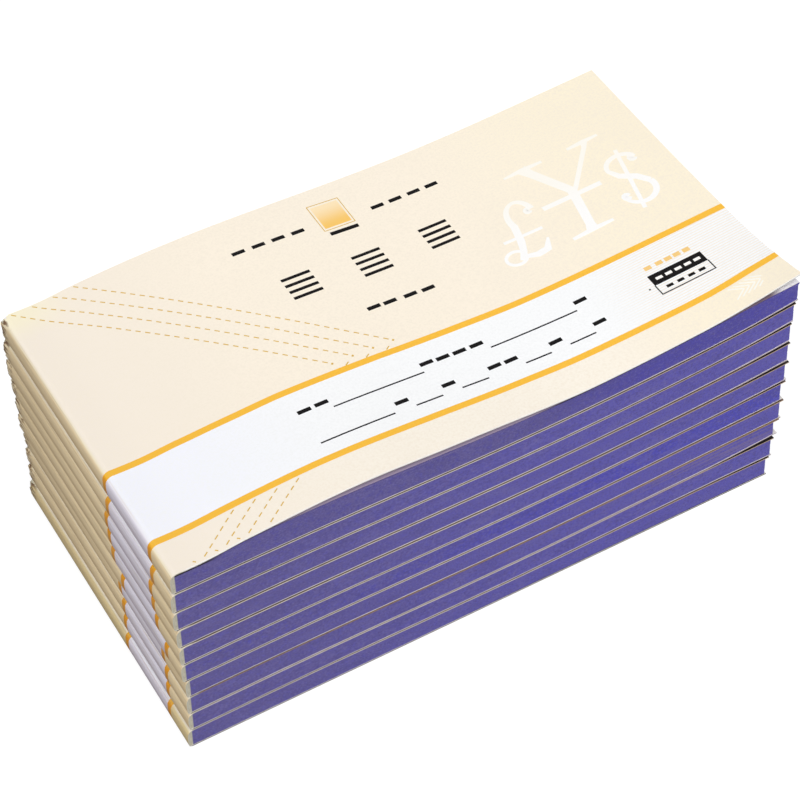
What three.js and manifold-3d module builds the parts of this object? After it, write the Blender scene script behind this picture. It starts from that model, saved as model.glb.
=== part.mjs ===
// A stack of ten stapled duplicate books, each a block of leaves in a wrap-round card cover.
// Millimetres. X runs from the bound spine to the free end, Y from the front long edge to the back
// one, Z is up. The origin is the middle of the stack's bounding box, on the table.
import * as THREE from 'three';
import { mergeVertices } from 'three/addons/utils/BufferGeometryUtils.js';
import Module from 'manifold-3d';

const wasm = await Module();
wasm.setup();

// One book
const BOOK_LENGTH = 175; // face of the spine to the free edge of the cover
const BOOK_WIDTH = 94;
const COVER_THICKNESS = 0.3;
const COVER_OVERHANG = 0.8; // of the cover past the leaves at the free end
const SPINE_TOP_RADIUS = 1.8;
const SPINE_BOTTOM_RADIUS = 0.8;
const GLUE_THICKNESS = 0.5;
const TRIM = 0.1; // leaves lie this far inside the cover's long edges
const SEAT = 0.1; // between pieces that are glued or pressed together

// Two wire staples through each block, near the spine
const STAPLE_INSET = 4.5; // from the face of the spine
const STAPLE_SPACING = 48;
const STAPLE_CROWN = 11;
const STAPLE_FOOT = 3.6;
const STAPLE_WIRE = 0.5;

// The stack: the books are thicker, and lie less close together, towards their free ends
const PITCH_AT_SPINE = 6.82; // from book to book
const PITCH_GROWTH = 0.58;
const PITCH_POWER = 6;
const GAP_AT_SPINE = 0.14; // between two covers
const GAP_GROWTH = 0.32;
const GAP_POWER = 2;
const SAG_HEIGHT = 0.22; // of the slight wave that runs through all the joints
const SAG_TURNS = 1.45;
const TOP_AT_SPINE = 68.24; // height of the top cover
const TOP_GROWTH = 5.31;
const TOP_POWER = 2.4;
// How each book, from the top one down, lies off the stack's line: along X, along Y, and turned
// so that its free end goes this far along Y.
const SHIFTS_X = [-0.2, -0.6, -0.6, -0.2, 0, 0, 0.7, 0.5, 0.5, -0.1];
const SHIFTS_Y = [0.1, 0.1, 0.1, 0, -0.1, -0.05, 0, 0.05, 0.05, 0.1];
const SLEWS_Y = [-0.1, -0.1, 0, 0.1, 0.1, 0.1, 0, 0, 0.1, 0];

// The top book opens: its front cover turns at the spine, its first leaves at the staples' margin
const COVER_CREASE = 3; // from the face of the spine
const LEAF_CREASE = 7;
const CREASE_GAP = 0.3;
const LEAF_THICKNESS = 0.1;
const SHIELD_THICKNESS = 0.5;

// Its loose leaves and front cover lie in waves
const WAVE_HEIGHT = 2;
const WAVE_TURNS = 1.15; // full waves from spine to free end
const WAVE_FADE = 0.55; // share of the wave's height lost by the free end
const BACK_HUMP = 1.5;
const BACK_LAG = 0.05; // of the waves at the back edge, as a share of the length
const WAVE_FROM = 6; // from the face of the spine
const WAVE_START = 11; // length over which the wave grows
const EDGE_LIFT = 1.5; // of the cover's front edge off the leaves, a third of the way along
const EDGE_LIFT_FROM = 0.08;
const EDGE_LIFT_TO = 0.56;
const EDGE_LIFT_DEPTH = 0.5;
const CORNER_CURL = 2.5; // of the cover's front corner at the free end
const CORNER_CURL_FROM = 0.84;
const CORNER_CURL_DEPTH = 0.3;

// Steps of curves and sheets
const RUN_STEPS = 24;
const ARC_STEPS = 5;
const SHEET_STEPS_X = 44;
const SHEET_STEPS_Y = 8;

const bookCount = SHIFTS_X.length;
const topLevel = bookCount - 1;
const leafEnd = BOOK_LENGTH - COVER_OVERHANG;
const glueStart = COVER_THICKNESS + SEAT;
const blockStart = glueStart + GLUE_THICKNESS + SEAT;
const blockInset = COVER_THICKNESS + SEAT;

const materials = {
  cover: new THREE.MeshStandardMaterial({ color: 0xf8efdb, roughness: 0.7, metalness: 0 }),
  leafEdges: new THREE.MeshStandardMaterial({ color: 0x5f549f, roughness: 0.85, metalness: 0 }),
  whiteLeaf: new THREE.MeshStandardMaterial({ color: 0xf3f3f6, roughness: 0.85, metalness: 0 }),
  pinkLeaf: new THREE.MeshStandardMaterial({ color: 0xf2c9cf, roughness: 0.85, metalness: 0 }),
  shield: new THREE.MeshStandardMaterial({ color: 0xd9cfb8, roughness: 0.8, metalness: 0 }),
  glue: new THREE.MeshStandardMaterial({ color: 0xc9cbb6, roughness: 0.5, metalness: 0 }),
  staple: new THREE.MeshStandardMaterial({ color: 0xb9bcc0, roughness: 0.35, metalness: 1 }),
};

// Height of the underside of the book on a level, counted from 0 for the bottom book
function underside(level, x) {
  if (level === 0) return 0;
  const along = Math.max(x, 0) / BOOK_LENGTH;
  const sag = SAG_HEIGHT * Math.sin(2 * Math.PI * SAG_TURNS * along) * (1 + along);
  return level * (PITCH_AT_SPINE + PITCH_GROWTH * along ** PITCH_POWER) + sag;
}

// Height of the upper face of that book. The top one has its waves on it as well.
function upperFace(level, x) {
  const along = Math.max(x, 0) / BOOK_LENGTH;
  if (level === topLevel) return TOP_AT_SPINE + TOP_GROWTH * along ** TOP_POWER;
  return underside(level + 1, x) - GAP_AT_SPINE - GAP_GROWTH * along ** GAP_POWER;
}

// Share of a smooth step from 0 to 1
function smooth(share) {
  const s = Math.min(Math.max(share, 0), 1);
  return s * s * (3 - 2 * s);
}

// Wave of the top book's loose leaves and cover
function leafWave(x, y) {
  const along = x / BOOK_LENGTH;
  const back = y / BOOK_WIDTH;
  const turns = WAVE_TURNS * (along - BACK_LAG * back);
  const wave = Math.sin(2 * Math.PI * turns) * (1 - WAVE_FADE * along);
  const hump = back * Math.sin(Math.PI * along);
  return (WAVE_HEIGHT * wave + BACK_HUMP * hump) * smooth((x - WAVE_FROM) / WAVE_START);
}

// What the front cover stands off those leaves, along its front edge and at its corner
function coverLift(x, y) {
  const along = x / BOOK_LENGTH;
  const back = y / BOOK_WIDTH;
  const inLift = (along - EDGE_LIFT_FROM) / (EDGE_LIFT_TO - EDGE_LIFT_FROM);
  const swell = inLift > 0 && inLift < 1 ? Math.sin(Math.PI * inLift) ** 2 : 0;
  const edge = EDGE_LIFT * swell * Math.max(0, 1 - back / EDGE_LIFT_DEPTH) ** 2;
  const inCurl = Math.max(0, (along - CORNER_CURL_FROM) / (1 - CORNER_CURL_FROM));
  const curl = CORNER_CURL * inCurl ** 1.5 * Math.max(0, 1 - back / CORNER_CURL_DEPTH) ** 2;
  return edge + curl;
}

function spread(from, to, steps) {
  return Array.from({ length: steps + 1 }, (_, i) => from + ((to - from) * i) / steps);
}

// Side outline of a book at a depth below the cover's outer face, from the free end of its
// underside, round the spine, and on along its top as far as topEnd
function wrapPoints(level, inset, topEnd) {
  const base = underside(level, 0);
  const points = spread(BOOK_LENGTH, SPINE_BOTTOM_RADIUS, RUN_STEPS).map(
    (x) => new THREE.Vector2(x, underside(level, x) + inset),
  );
  const corner = (radius, z, from, to) => {
    for (const angle of spread(from, to, ARC_STEPS).slice(from > Math.PI ? 1 : 0)) {
      const reach = radius - inset;
      points.push(
        new THREE.Vector2(radius + reach * Math.cos(angle), z + reach * Math.sin(angle)),
      );
    }
  };
  corner(SPINE_BOTTOM_RADIUS, base + SPINE_BOTTOM_RADIUS, 1.5 * Math.PI, Math.PI);
  corner(SPINE_TOP_RADIUS, upperFace(level, 0) - SPINE_TOP_RADIUS, Math.PI, 0.5 * Math.PI);
  const runSteps = topEnd < BOOK_LENGTH ? 1 : RUN_STEPS;
  for (const x of spread(SPINE_TOP_RADIUS, topEnd, runSteps).slice(1)) {
    points.push(new THREE.Vector2(x, upperFace(level, x) - inset));
  }
  return points;
}

// Height of the cover's inner space at x, less a seat, on the top or the bottom side
function innerHeight(level, x, isTop) {
  const radius = isTop ? SPINE_TOP_RADIUS : SPINE_BOTTOM_RADIUS;
  const reach = radius - blockInset;
  const drop =
    x < radius ? reach - Math.sqrt(Math.max(reach ** 2 - (radius - x) ** 2, 0)) : 0;
  return isTop
    ? upperFace(level, x) - blockInset - drop
    : underside(level, x) + blockInset + drop;
}

// Closed side outline extruded across the book, from y to y
function extrudeAcross(points, fromY, toY) {
  const geometry = new THREE.ExtrudeGeometry(new THREE.Shape(points), {
    depth: toY - fromY,
    bevelEnabled: false,
  });
  return geometry.rotateX(Math.PI / 2).translate(0, toY, 0);
}

// Closed solid between two height functions over a grid of x and y
function sheet(xs, ys, upper, lower) {
  const positions = [];
  const side = xs.length * ys.length;
  for (const height of [upper, lower]) {
    for (const x of xs) for (const y of ys) positions.push(x, y, height(x, y));
  }
  const at = (i, j, below) => i * ys.length + j + (below ? side : 0);
  const triangles = [];
  const quad = (a, b, c, d) => triangles.push(a, b, c, a, c, d);
  for (let i = 0; i + 1 < xs.length; i += 1) {
    for (let j = 0; j + 1 < ys.length; j += 1) {
      quad(at(i, j), at(i + 1, j), at(i + 1, j + 1), at(i, j + 1));
      quad(at(i, j, true), at(i, j + 1, true), at(i + 1, j + 1, true), at(i + 1, j, true));
    }
    const last = ys.length - 1;
    quad(at(i, 0, true), at(i + 1, 0, true), at(i + 1, 0), at(i, 0));
    quad(at(i, last), at(i + 1, last), at(i + 1, last, true), at(i, last, true));
  }
  for (let j = 0; j + 1 < ys.length; j += 1) {
    const last = xs.length - 1;
    quad(at(0, j), at(0, j + 1), at(0, j + 1, true), at(0, j, true));
    quad(at(last, j, true), at(last, j + 1, true), at(last, j + 1), at(last, j));
  }
  const geometry = new THREE.BufferGeometry();
  geometry.setAttribute('position', new THREE.Float32BufferAttribute(positions, 3));
  geometry.setIndex(triangles);
  return geometry;
}

function toSolid(geometry) {
  const bare = geometry.clone();
  bare.deleteAttribute('normal');
  bare.deleteAttribute('uv');
  const merged = mergeVertices(bare, 1e-4);
  return new wasm.Manifold(
    new wasm.Mesh({
      numProp: 3,
      vertProperties: new Float32Array(merged.attributes.position.array),
      triVerts: new Uint32Array(merged.index.array),
    }),
  );
}

function toGeometry(solid) {
  const { vertProperties, triVerts } = solid.getMesh();
  const geometry = new THREE.BufferGeometry();
  geometry.setAttribute('position', new THREE.BufferAttribute(vertProperties, 3));
  geometry.setIndex(new THREE.BufferAttribute(triVerts, 1));
  return geometry;
}

function named(name, geometry, material) {
  const mesh = new THREE.Mesh(geometry, material);
  mesh.name = name;
  return mesh;
}

// A clinched staple seen along X: crown on top, two legs, feet bent inwards. grow widens every
// side for the slot that holds it, and open carries crown and feet out of the block.
function stapleGeometry(level, centreY, grow, open) {
  const top = innerHeight(level, STAPLE_INSET, true) - SEAT;
  const bottom = innerHeight(level, STAPLE_INSET, false) + SEAT;
  const outer = STAPLE_CROWN / 2 + grow;
  const inner = STAPLE_CROWN / 2 - STAPLE_WIRE - grow;
  const toe = STAPLE_CROWN / 2 - STAPLE_FOOT - grow;
  const points = [
    [-outer, bottom - grow - open],
    [-toe, bottom - grow - open],
    [-toe, bottom + STAPLE_WIRE + grow],
    [-inner, bottom + STAPLE_WIRE + grow],
    [-inner, top - STAPLE_WIRE - grow],
    [inner, top - STAPLE_WIRE - grow],
    [inner, bottom + STAPLE_WIRE + grow],
    [toe, bottom + STAPLE_WIRE + grow],
    [toe, bottom - grow - open],
    [outer, bottom - grow - open],
    [outer, top + grow + open],
    [-outer, top + grow + open],
  ].map(([y, z]) => new THREE.Vector2(y, z));
  const width = STAPLE_WIRE + 2 * grow;
  const geometry = new THREE.ExtrudeGeometry(new THREE.Shape(points), {
    depth: width,
    bevelEnabled: false,
  });
  geometry.rotateX(Math.PI / 2).rotateZ(Math.PI / 2);
  return geometry.translate(STAPLE_INSET - width / 2, centreY, 0);
}

const stapleCentres = {
  front: (BOOK_WIDTH - STAPLE_SPACING) / 2,
  back: (BOOK_WIDTH + STAPLE_SPACING) / 2,
};

function cutStapleSlots(solid, level) {
  return Object.values(stapleCentres).reduce(
    (rest, y) => rest.subtract(toSolid(stapleGeometry(level, y, SEAT, 1))),
    solid,
  );
}

function glueGeometry(level) {
  const xs = spread(glueStart, glueStart + GLUE_THICKNESS, ARC_STEPS);
  const points = [
    ...xs.map((x) => new THREE.Vector2(x, innerHeight(level, x, false))),
    ...xs.reverse().map((x) => new THREE.Vector2(x, innerHeight(level, x, true))),
  ];
  return extrudeAcross(points, TRIM, BOOK_WIDTH - TRIM);
}

// Depth of the top book's loose leaves and shield below the outer face of its front cover
const topCopyDepth = COVER_THICKNESS + SEAT;
const secondCopyDepth = topCopyDepth + LEAF_THICKNESS + SEAT;
const shieldDepth = secondCopyDepth + LEAF_THICKNESS + SEAT;
const openBlockDepth = shieldDepth + SHIELD_THICKNESS + SEAT;

function closedBlock(level) {
  const arc = spread(blockStart, SPINE_TOP_RADIUS, 2);
  const xs = [...arc, ...spread(SPINE_TOP_RADIUS, leafEnd, RUN_STEPS).slice(1)];
  const points = [
    ...xs.map((x) => new THREE.Vector2(x, innerHeight(level, x, false))),
    ...xs.reverse().map((x) => new THREE.Vector2(x, innerHeight(level, x, true))),
  ];
  return toSolid(extrudeAcross(points, TRIM, BOOK_WIDTH - TRIM));
}

// The top book's block: a stapled margin under the cover, and a waved top under the loose leaves
function openBlock() {
  const margin = [...spread(blockStart, SPINE_TOP_RADIUS, 2), LEAF_CREASE];
  const ys = spread(TRIM, BOOK_WIDTH - TRIM, SHEET_STEPS_Y);
  const below = (x) => innerHeight(topLevel, x, false);
  const marginTop = (x) => innerHeight(topLevel, x, true);
  const wavedTop = (x, y) => upperFace(topLevel, x) - openBlockDepth + leafWave(x, y);
  const overlap = 0.5; // the two halves share this much before they are joined
  const xs = spread(LEAF_CREASE - overlap, leafEnd, SHEET_STEPS_X);
  return toSolid(sheet(margin, ys, marginTop, below)).add(toSolid(sheet(xs, ys, wavedTop, below)));
}

function wavedSheet(fromX, toX, trim, depth, thickness, lift) {
  const xs = spread(fromX, toX, SHEET_STEPS_X);
  const ys = spread(trim, BOOK_WIDTH - trim, SHEET_STEPS_Y);
  const upper = (x, y) => upperFace(topLevel, x) - depth + leafWave(x, y) + lift(x, y);
  return sheet(xs, ys, upper, (x, y) => upper(x, y) - thickness);
}

function openingPieces(name) {
  const flat = () => 0;
  const fromLeaf = LEAF_CREASE + CREASE_GAP;
  const leaf = (depth, thickness) =>
    wavedSheet(fromLeaf, leafEnd, TRIM, depth, thickness, flat);
  const panel = wavedSheet(
    COVER_CREASE + CREASE_GAP,
    BOOK_LENGTH,
    0,
    0,
    COVER_THICKNESS,
    coverLift,
  );
  return [
    named(`${name}_front_cover`, panel, materials.cover),
    named(`${name}_top_copy`, leaf(topCopyDepth, LEAF_THICKNESS), materials.whiteLeaf),
    named(`${name}_second_copy`, leaf(secondCopyDepth, LEAF_THICKNESS), materials.pinkLeaf),
    named(`${name}_writing_shield`, leaf(shieldDepth, SHIELD_THICKNESS), materials.shield),
  ];
}

function book(index) {
  const level = topLevel - index;
  const isTop = level === topLevel;
  const name = `book_${String(index + 1).padStart(2, '0')}`;
  const topEnd = isTop ? COVER_CREASE : BOOK_LENGTH;
  const wrap = [
    ...wrapPoints(level, 0, topEnd),
    ...wrapPoints(level, COVER_THICKNESS, topEnd).reverse(),
  ];
  const block = cutStapleSlots(isTop ? openBlock() : closedBlock(level), level);
  const group = new THREE.Group();
  group.add(
    named(`${name}_cover_wrap`, extrudeAcross(wrap, 0, BOOK_WIDTH), materials.cover),
    named(`${name}_leaf_block`, toGeometry(block), materials.leafEdges),
    named(`${name}_spine_glue`, glueGeometry(level), materials.glue),
  );
  for (const [side, y] of Object.entries(stapleCentres)) {
    group.add(named(`${name}_staple_${side}`, stapleGeometry(level, y, 0, 0), materials.staple));
  }
  if (isTop) group.add(...openingPieces(name));
  group.position.set(SHIFTS_X[index], SHIFTS_Y[index], 0);
  group.rotation.z = Math.atan2(SLEWS_Y[index], BOOK_LENGTH);
  return group;
}

const stack = new THREE.Group();
for (let index = 0; index < bookCount; index += 1) stack.add(book(index));

// Set the origin under the middle of the bounding box
stack.updateMatrixWorld(true);
const bounds = new THREE.Box3().setFromObject(stack, true);
const middle = bounds.getCenter(new THREE.Vector3());
stack.position.set(-middle.x, -middle.y, -bounds.min.z);

export default stack;
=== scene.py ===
"""Looks of a stack of ten duplicate books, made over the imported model.

Lengths are millimetres in a book's own axes, unless a comment says metres: X runs from the spine to
the free end, Y from the front long edge to the back one, and Z up from the table.
"""

import math

import bpy
from mathutils import Matrix, Vector, noise


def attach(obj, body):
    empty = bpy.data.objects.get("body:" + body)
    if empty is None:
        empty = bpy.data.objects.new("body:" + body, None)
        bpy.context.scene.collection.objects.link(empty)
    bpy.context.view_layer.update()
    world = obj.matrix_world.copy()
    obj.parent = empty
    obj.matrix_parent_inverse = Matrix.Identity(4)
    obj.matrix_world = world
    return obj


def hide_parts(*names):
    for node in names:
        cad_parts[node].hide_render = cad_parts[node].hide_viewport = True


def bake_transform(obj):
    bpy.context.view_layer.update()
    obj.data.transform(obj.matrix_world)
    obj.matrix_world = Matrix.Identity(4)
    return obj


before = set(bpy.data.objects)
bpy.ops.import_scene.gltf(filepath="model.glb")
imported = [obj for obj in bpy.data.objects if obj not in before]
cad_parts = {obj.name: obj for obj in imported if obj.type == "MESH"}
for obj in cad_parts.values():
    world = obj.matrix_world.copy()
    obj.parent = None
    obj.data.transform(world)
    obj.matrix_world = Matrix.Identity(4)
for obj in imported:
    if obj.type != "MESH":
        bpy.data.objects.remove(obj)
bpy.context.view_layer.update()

MM = 0.001

# One book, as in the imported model
BOOK_COUNT = 10
BOOK_LENGTH = 175.0
BOOK_WIDTH = 94.0
COVER_THICKNESS = 0.3
SPINE_TOP_RADIUS = 1.8
SPINE_BOTTOM_RADIUS = 0.8
PITCH_AT_SPINE = 6.82
PITCH_GROWTH = 0.58
PITCH_POWER = 6
GAP_AT_SPINE = 0.14
GAP_GROWTH = 0.32
GAP_POWER = 2
SAG_HEIGHT = 0.22
SAG_TURNS = 1.45
TOP_AT_SPINE = 68.24
TOP_GROWTH = 5.31
TOP_POWER = 2.4
TRIM = 0.1
BLOCK_START = 0.95
SPINE_BULGE = 0.25
LEAF_CREASE = 7.0
CREASE_GAP = 0.3
SEAT = 0.06  # between the cover's inner face and the leaves

# The top book's front cover: where it bends, its seam, and its waves
CREASE_BEND = (2.6, 4.2)
COVER_SEAM = 2.4
WAVE_HEIGHT = 2.0
WAVE_TURNS = 1.15
WAVE_FADE = 0.55
WAVE_FROM = 4.0
WAVE_START = 15.5
BACK_HUMP = 1.5
BACK_LAG = 0.05
# Lifts of its front edge: height, from, to and depth, the last three as shares of the cover
EDGE_LIFT = (1.5, 0.08, 0.56, 0.5)
EDGE_RIPPLE = (0.9, 0.36, 0.66, 0.25)
FRONT_FADE_POWER = 2
CORNER_CURL = 2.5
CORNER_CURL_FROM = 0.84
CORNER_CURL_DEPTH = 0.3
CORNER_CURL_POWER = 1.5

# The top book's loose leaves, as depths of their upper faces below the cover's outer face
TOP_COPY_DEPTH = 0.5
SECOND_COPY_DEPTH = 0.62
LEAF_THICKNESS = 0.1
SHIELD_DEPTH = 0.74
SHIELD_THICKNESS = 0.5
OPEN_BLOCK_DEPTH = 1.26

# Printed stripes, with the slight slant that they have on the top cover
STRIPE_WIDTH = 1.85
LOWER_STRIPE_Y = 10.8
UPPER_STRIPE_Y = 34.4
LOWER_STRIPE_SLANT = -1.2
UPPER_STRIPE_SLANT = -2.4
# How they bend there, as shares of the length and mm
LOWER_STRIPE_BENDS = [
    (0, -0.12), (0.04, -0.15), (0.1, -0.25), (0.17, 0), (0.25, 0.22), (0.45, 0.25), (0.59, -0.05),
    (0.66, -0.4), (0.83, -0.72), (0.88, -0.76), (0.91, -0.55), (0.95, -0.12), (1.01, 0.3),
]
UPPER_STRIPE_BENDS = [
    (0, 0), (0.12, -0.25), (0.2, 0.1), (0.26, 0.6), (0.42, 0.75), (0.55, 0.45), (0.64, 0.05),
    (1.01, 0),
]
# From the top book down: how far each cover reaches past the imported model's free end, how far it
# overhangs its leaves there, and how far its print lies off the top book's
OVERREACH = [0.5, 0.5, 0.45, 0.7, 1.2, 1.3, 1.0, 0.9, 0.4, 0.4]
OVERHANGS = [0.25, 0.25, 0.1, 0.35, 0.9, 1.2, 0.9, 1.5, 0.7, 0.8]
PRINT_SHIFTS = [0, -0.9, 1.0, 1.6, 1.4, -2.7, 1.5, 0.3, 0.6, -0.4]

INK_HEIGHT = 0.02
INK_STEP = 0.004  # each next patch of an ink lies this much higher, so that crossings stay clean
INK_STEPS = 6


def smooth(share):
    s = min(max(share, 0.0), 1.0)
    return s * s * (3 - 2 * s)


def spread(start, end, steps):
    return [start + (end - start) * i / steps for i in range(steps + 1)]


# Heights

def underside(level, x):
    """Underside of the book on a level, counted from 0 for the bottom book."""
    if level == 0:
        return 0.0
    along = max(x, 0.0) / BOOK_LENGTH
    sag = SAG_HEIGHT * math.sin(2 * math.pi * SAG_TURNS * along) * (1 + along)
    return level * (PITCH_AT_SPINE + PITCH_GROWTH * along**PITCH_POWER) + sag


def upper_face(level, x):
    """Upper face of that book, without the top book's waves."""
    along = max(x, 0.0) / BOOK_LENGTH
    if level == BOOK_COUNT - 1:
        return TOP_AT_SPINE + TOP_GROWTH * along**TOP_POWER
    return underside(level + 1, x) - GAP_AT_SPINE - GAP_GROWTH * along**GAP_POWER


def leaf_wave(x, y):
    """Waves that the top cover and the leaves under it share."""
    along = x / BOOK_LENGTH
    back = y / BOOK_WIDTH
    turns = WAVE_TURNS * (along - BACK_LAG * back)
    wave = math.sin(2 * math.pi * turns) * (1 - WAVE_FADE * along)
    hump = back * math.sin(math.pi * along)
    return (WAVE_HEIGHT * wave + BACK_HUMP * hump) * smooth((x - WAVE_FROM) / WAVE_START)


def front_fade(back, depth):
    """Share of a lift of the front edge that is left further back."""
    return max(0, 1 - back / depth) ** FRONT_FADE_POWER


def edge_lift(along, back, height, start, end, depth):
    share = (along - start) / (end - start)
    swell = math.sin(math.pi * share) ** 2 if 0 < share < 1 else 0
    return height * swell * front_fade(back, depth)


def cover_lift(x, y):
    """How far the top cover lifts along its front edge, and curls at its free corner."""
    along = x / BOOK_LENGTH
    back = y / BOOK_WIDTH
    edge = edge_lift(along, back, *EDGE_LIFT) + edge_lift(along, back, *EDGE_RIPPLE)
    in_curl = max(0, (along - CORNER_CURL_FROM) / (1 - CORNER_CURL_FROM))
    curl = CORNER_CURL * in_curl**CORNER_CURL_POWER * front_fade(back, CORNER_CURL_DEPTH)
    return edge + curl


def top_face(level, x, y):
    """Outer face of a book's front cover."""
    height = upper_face(level, x)
    if level == BOOK_COUNT - 1:
        height += leaf_wave(x, y) + cover_lift(x, y)
    return height


def spine_bulge(level, z):
    """How far the rounded face of a spine stands out at height z."""
    low, high = underside(level, 0), upper_face(level, 0)
    share = min(max((z - low) / (high - low), 0), 1)
    return SPINE_BULGE * math.sin(math.pi * share)


# How high some books lift off the next one at their free front corner, by level from 0 at the foot
GAPE_HEIGHTS = {2: 1.8, 5: 0.4, 6: 0.6, 7: 0.7, 8: 0.7, 9: 0.7}
GAPE_FROM = 150.0
GAPE_RUN = 40.0
GAPE_DEPTH = 50.0


def gape(level, x, y):
    along = smooth((x - GAPE_FROM) / GAPE_RUN)
    return GAPE_HEIGHTS.get(level, 0) * along * max(0, 1 - y / GAPE_DEPTH)


def inner_drop(radius, x):
    """How far the inside of a rounded spine edge lies from the cover's flat inner face at x."""
    reach = radius - COVER_THICKNESS - SEAT
    return reach - math.sqrt(max(reach**2 - (radius - x) ** 2, 0)) if x < radius else 0


def inner_floor(level, x):
    return underside(level, x) + COVER_THICKNESS + SEAT + inner_drop(SPINE_BOTTOM_RADIUS, x)


def inner_roof(level, x):
    lid = upper_face(level, x) - COVER_THICKNESS - SEAT
    return lid - inner_drop(SPINE_TOP_RADIUS, x)


END_DRAWN = 0.2
END_BOW = 0.75
END_BOW_POWER = 0.8
END_BOW_RUN = 12.0


def end_bow(book, x, y):
    """How far the top cover's free edge is drawn in."""
    if not book.is_top:
        return 0
    drawn = END_DRAWN + END_BOW * math.sin(math.pi * (y / BOOK_WIDTH) ** END_BOW_POWER)
    return drawn * smooth((x - BOOK_LENGTH + END_BOW_RUN) / END_BOW_RUN)


# Meshes

class Skin:
    """The closed skins of one piece, in a book's own axes. Each face has a finish by number."""

    def __init__(self, level):
        self.level = level
        self.points = []
        self.faces = []
        self.finishes = []

    def add_lattice(self, counts, position, finish):
        """Skins a lattice. position gives a point from its indices, finish a cell of a side."""
        ni, nj, nk = counts
        known = {}

        def at(i, j, k):
            if (i, j, k) not in known:
                known[i, j, k] = len(self.points)
                self.points.append(position(i, j, k))
            return known[i, j, k]

        def add(side, cell, corners):
            self.faces.append([at(*c) for c in corners])
            self.finishes.append(finish(side, *cell))

        # Pairs of sides, each with its layer, then their counts of cells and the order of indices
        sides = [
            ("top", nk, "bottom", 0, ni, nj, lambda a, b, layer: (a, b, layer)),
            ("front", 0, "back", nj, ni, nk, lambda a, b, layer: (a, layer, b)),
            ("end", ni, "start", 0, nj, nk, lambda a, b, layer: (layer, a, b)),
        ]
        for side, layer, other_side, other_layer, na, nb, indices in sides:
            for a in range(na):
                for b in range(nb):
                    ring = [(a, b), (a + 1, b), (a + 1, b + 1), (a, b + 1)]
                    add(side, (a, b), [indices(*c, layer) for c in ring])
                    add(other_side, (a, b), [indices(*c, other_layer) for c in reversed(ring)])


def spine_place(name):
    """Where a book's spine meets its front edge, and how the book is turned, as a matrix."""
    points = [v.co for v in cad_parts[name + "_cover_wrap"].data.vertices]
    front = min((p for p in points if p.y < 0), key=lambda p: p.x)
    back = min((p for p in points if p.y > 0), key=lambda p: p.x)
    turn = math.atan2(front.x - back.x, back.y - front.y)
    corner = Matrix.Translation((front.x, front.y, 0))
    return corner @ Matrix.Rotation(turn, 4, "Z") @ Matrix.Scale(MM, 4)


class Book:
    def __init__(self, number):
        self.number = number
        self.name = f"book_{number:02d}"
        self.level = BOOK_COUNT - number
        self.is_top = number == 1
        self.place = spine_place(self.name)
        self.length = BOOK_LENGTH + OVERREACH[number - 1]
        self.leaf_end = self.length - OVERHANGS[number - 1]
        self.print_shift = PRINT_SHIFTS[number - 1]


def add_object(name, data):
    made = bpy.data.objects.new(name, data)
    bpy.context.scene.collection.objects.link(made)
    return made


SHARP_ANGLE = 40  # degrees


def make_piece(name, skin, book, finishes, slot):
    """Turns a skin into an object in the stack. Its points keep their place for its finishes."""
    mesh = bpy.data.meshes.new(name)
    mesh.from_pydata([book.place @ Vector(p) for p in skin.points], [], skin.faces)
    for finish in finishes:
        mesh.materials.append(finish)
    mesh.polygons.foreach_set("material_index", skin.finishes)
    mesh.polygons.foreach_set("use_smooth", [True] * len(skin.faces))
    place = mesh.attributes.new("place", "FLOAT_VECTOR", "POINT")
    places = []
    for x, y, z in skin.points:
        places += [x, y, z - underside(skin.level, x)]
    place.data.foreach_set("vector", places)
    mesh.set_sharp_from_angle(angle=math.radians(SHARP_ANGLE))
    mesh.update()
    piece = add_object(name, mesh)
    return piece


# Covers

def bend(knots, along):
    """Height of a bent line that runs straight from knot to knot."""
    for (start, low), (end, high) in zip(knots, knots[1:]):
        if along <= end:
            return low + (high - low) * (along - start) / (end - start)
    return knots[-1][1]


def stripe_middles(book, x):
    """Where the two stripes run at x."""
    along = x / BOOK_LENGTH if book.is_top else 0
    low = LOWER_STRIPE_Y + LOWER_STRIPE_SLANT * along + bend(LOWER_STRIPE_BENDS, along)
    high = UPPER_STRIPE_Y + UPPER_STRIPE_SLANT * along + bend(UPPER_STRIPE_BENDS, along)
    return low + book.print_shift, high + book.print_shift


def stripe_rows(book, x, steps):
    """Rows of a cover at x, front to back, as y and the print that follows it."""
    low, high = stripe_middles(book, x)
    half = STRIPE_WIDTH / 2
    edges = [0, low - half, low + half, high - half, high + half, BOOK_WIDTH]
    prints = ["cream", "stripe", "band", "stripe", "cream"]
    rows = []
    for start, end, ink, count in zip(edges, edges[1:], prints, steps):
        rows += [(y, ink) for y in spread(start, end, count)[:-1]]
    return rows + [(BOOK_WIDTH, None)]


# Steps along a cover's side outline
LONG_STEPS = 40
MARGIN_STEPS = 2
LOW_EDGE_STEPS = 6
SPINE_STEPS = 6
HIGH_EDGE_STEPS = 9


def wrap_stations(book):
    """Stations of a cover's side outline, from the free end of its underside round the spine."""
    top_end = COVER_SEAM if book.is_top else book.length
    top_steps = MARGIN_STEPS if book.is_top else LONG_STEPS
    stations = [("under", x) for x in spread(book.length, SPINE_BOTTOM_RADIUS, LONG_STEPS)]
    stations += [("low", a) for a in spread(1.5 * math.pi, math.pi, LOW_EDGE_STEPS)[1:]]
    stations += [("face", s) for s in spread(0, 1, SPINE_STEPS)[1:-1]]
    stations += [("high", a) for a in spread(math.pi, 0.5 * math.pi, HIGH_EDGE_STEPS)]
    stations += [("over", x) for x in spread(SPINE_TOP_RADIUS, top_end, top_steps)[1:]]
    return stations


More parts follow.
